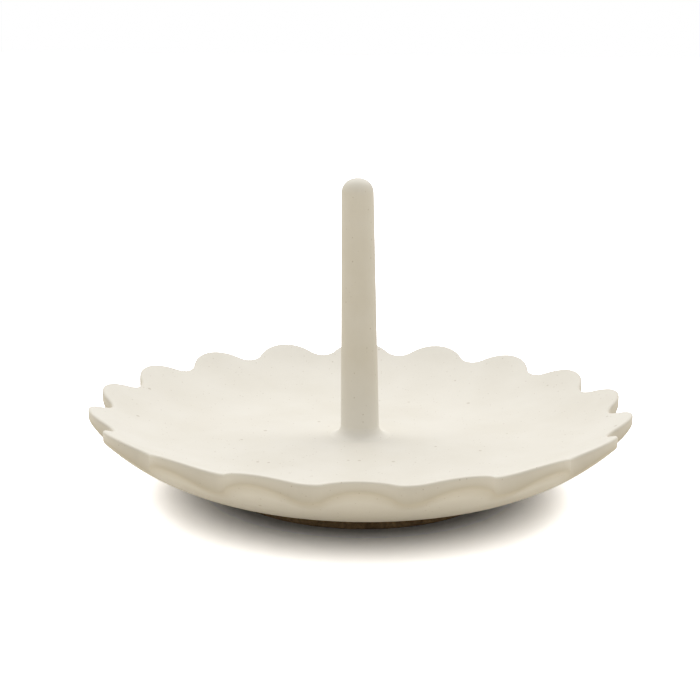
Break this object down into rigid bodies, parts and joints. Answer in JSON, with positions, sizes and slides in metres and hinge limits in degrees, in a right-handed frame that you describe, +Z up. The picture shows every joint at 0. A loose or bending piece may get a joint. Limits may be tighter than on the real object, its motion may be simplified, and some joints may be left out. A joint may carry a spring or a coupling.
{
  "type": "ring dish",
  "caption": "Shallow round ring dish with a scalloped edge, a low foot ring and an upright tapered post for finger rings, in matt cream glaze.",
  "frame": {"origin": "on the table under the middle of the dish, in the plane that the foot ring stands on", "axes": "+Z up; -Y towards the front, which one lobe of the edge faces; +X to the viewer's right, away from the side that the post leans to"},
  "size_m": [0.1184, 0.12, 0.0695],
  "materials": {
    "cream_glaze": "matt",
    "post_glaze": "matt",
    "bare_clay": "unglazed"
  },
  "bodies": {
    "root": {"dish": "cream_glaze", "foot_ring": "bare_clay", "ring_post": "post_glaze", "post_fillet": "post_glaze"}
  },
  "joints": []
}
